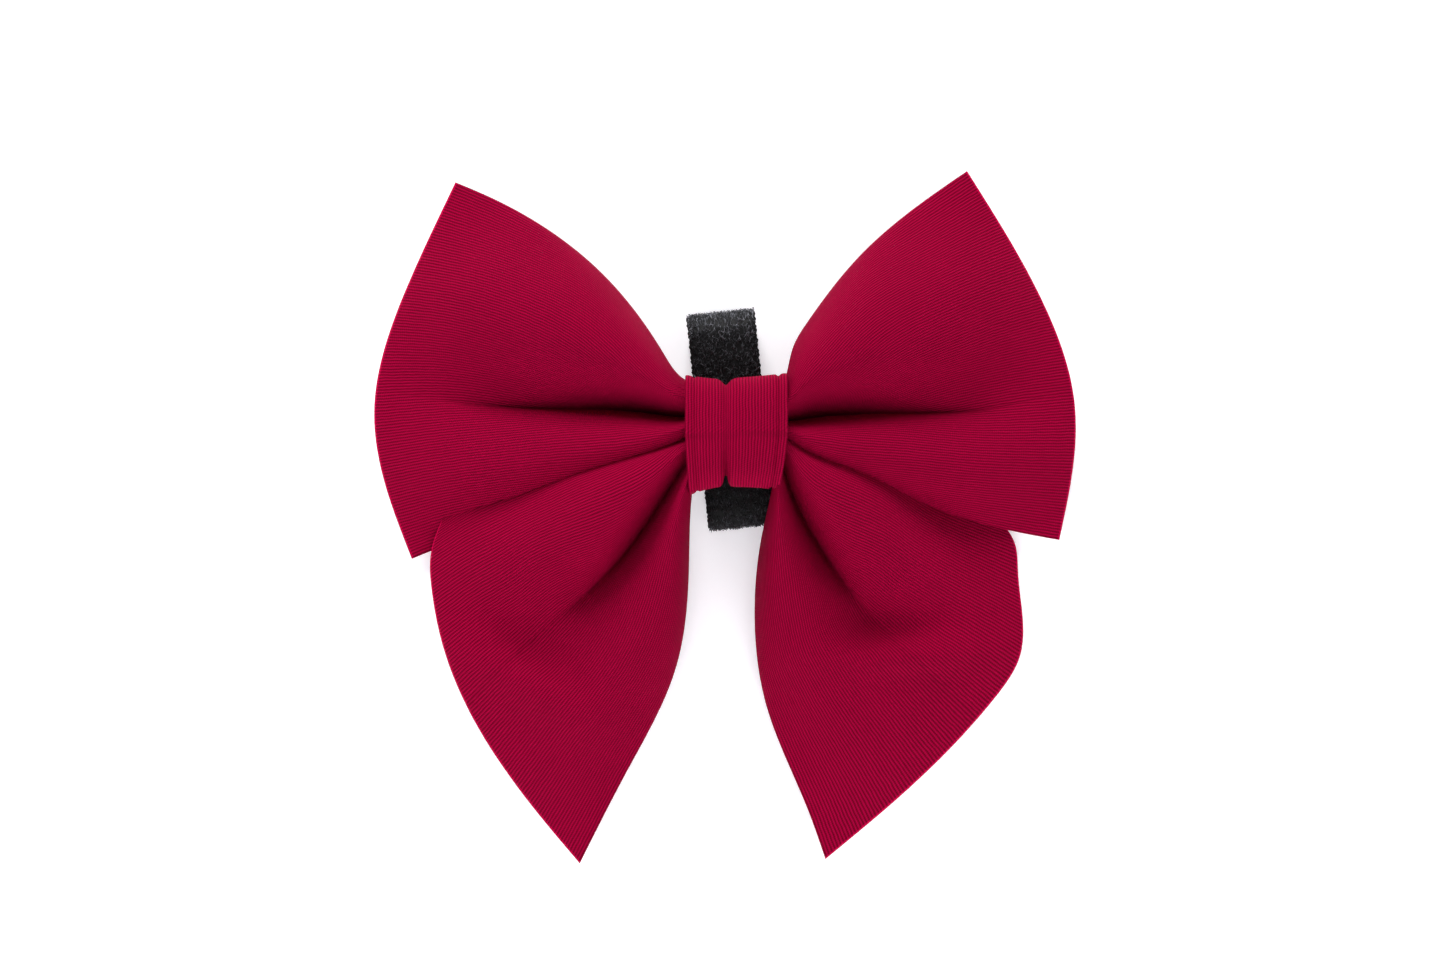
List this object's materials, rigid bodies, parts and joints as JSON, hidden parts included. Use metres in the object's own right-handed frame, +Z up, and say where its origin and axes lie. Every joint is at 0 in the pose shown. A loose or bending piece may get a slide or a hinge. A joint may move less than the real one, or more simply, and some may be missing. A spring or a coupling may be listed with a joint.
{
  "type": "pet collar sailor bow tie",
  "caption": "Crimson pleated sailor bow with a knot band and a hook-and-loop strap behind it that closes round a pet's collar.",
  "frame": {"origin": "middle of the strap's inner face, where the collar lies against it", "axes": "upright as worn: +X across the bow, +Z up, -Y towards the front of the bow, +Y towards the wearer"},
  "size_m": [0.1653, 0.0321, 0.1637],
  "materials": {
    "crimson_cloth": "fine ribbed polyester, matt with a slight sheen",
    "crimson_thread": "twisted polyester thread",
    "loop_tape": "black brushed loop pile",
    "hook_tape": "black woven tape with nylon hooks",
    "black_thread": "twisted polyester thread"
  },
  "bodies": {
    "bow": {"wing_front_panel": "crimson_cloth", "wing_back_panel": "crimson_cloth", "tail_front_panel": "crimson_cloth", "tail_back_panel": "crimson_cloth", "waist_thread": "crimson_thread", "knot_band": "crimson_cloth", "band_closing_stitches": "crimson_thread", "strap_centre": "loop_tape", "strap_tack_stitches": "black_thread"},
    "upper_arm": {"strap_upper_arm": "loop_tape", "hook_patch": "hook_tape", "hook_patch_stitches": "black_thread"},
    "lower_arm": {"strap_lower_arm": "loop_tape"}
  },
  "joints": [
    {"name": "upper_arm_peel", "type": "hinge", "parent": "bow", "child": "upper_arm", "pos_m": [-0.00263, 0.00445, 0.02506], "axis": [0.9945, 0, 0.1045], "range_deg": [0, 150]},
    {"name": "lower_arm_fold", "type": "hinge", "parent": "bow", "child": "lower_arm", "pos_m": [0.00263, 0.003, -0.02506], "axis": [-0.9945, 0, -0.1045], "range_deg": [0, 42]}
  ],
  "couplings": [
    {"joint": "lower_arm_fold", "follows": "upper_arm_peel", "ratio": 0.27}
  ]
}
